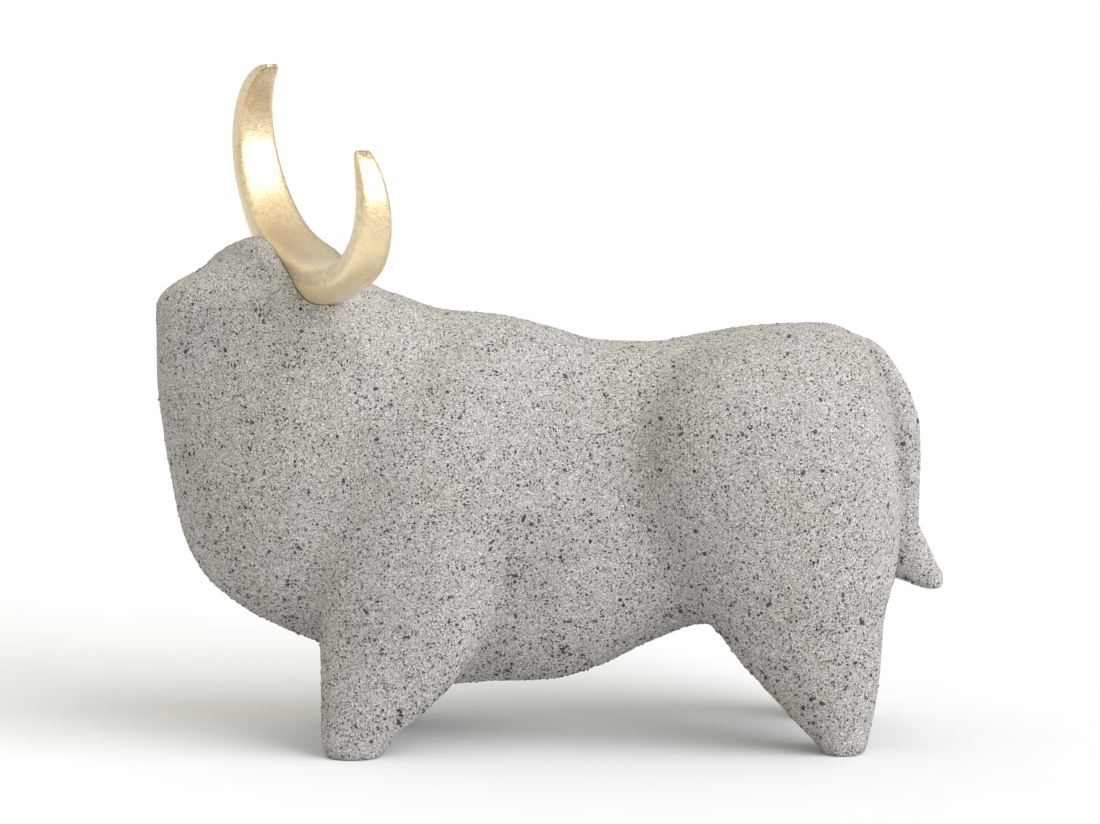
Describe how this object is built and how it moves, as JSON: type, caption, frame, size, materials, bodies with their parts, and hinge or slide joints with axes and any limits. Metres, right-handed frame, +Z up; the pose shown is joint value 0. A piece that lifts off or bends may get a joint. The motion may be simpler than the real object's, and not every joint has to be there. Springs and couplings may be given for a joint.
{
  "type": "ox figurine",
  "caption": "Standing ox figurine in speckled cast stone with a smooth body, a turned blunt head and a gold crescent of horns seated across the poll.",
  "frame": {"origin": "bottom centre of the whole object's box, on the plane of the soles", "axes": "+X towards the tail, -X towards the head; -Y the side that the head turns to; +Z up"},
  "size_m": [0.3514, 0.15, 0.3031],
  "materials": {
    "body": "rough speckled sand texture",
    "horns": "satin gold leaf, finely crinkled"
  },
  "bodies": {
    "root": {"body": "body", "horns": "horns"}
  },
  "joints": []
}
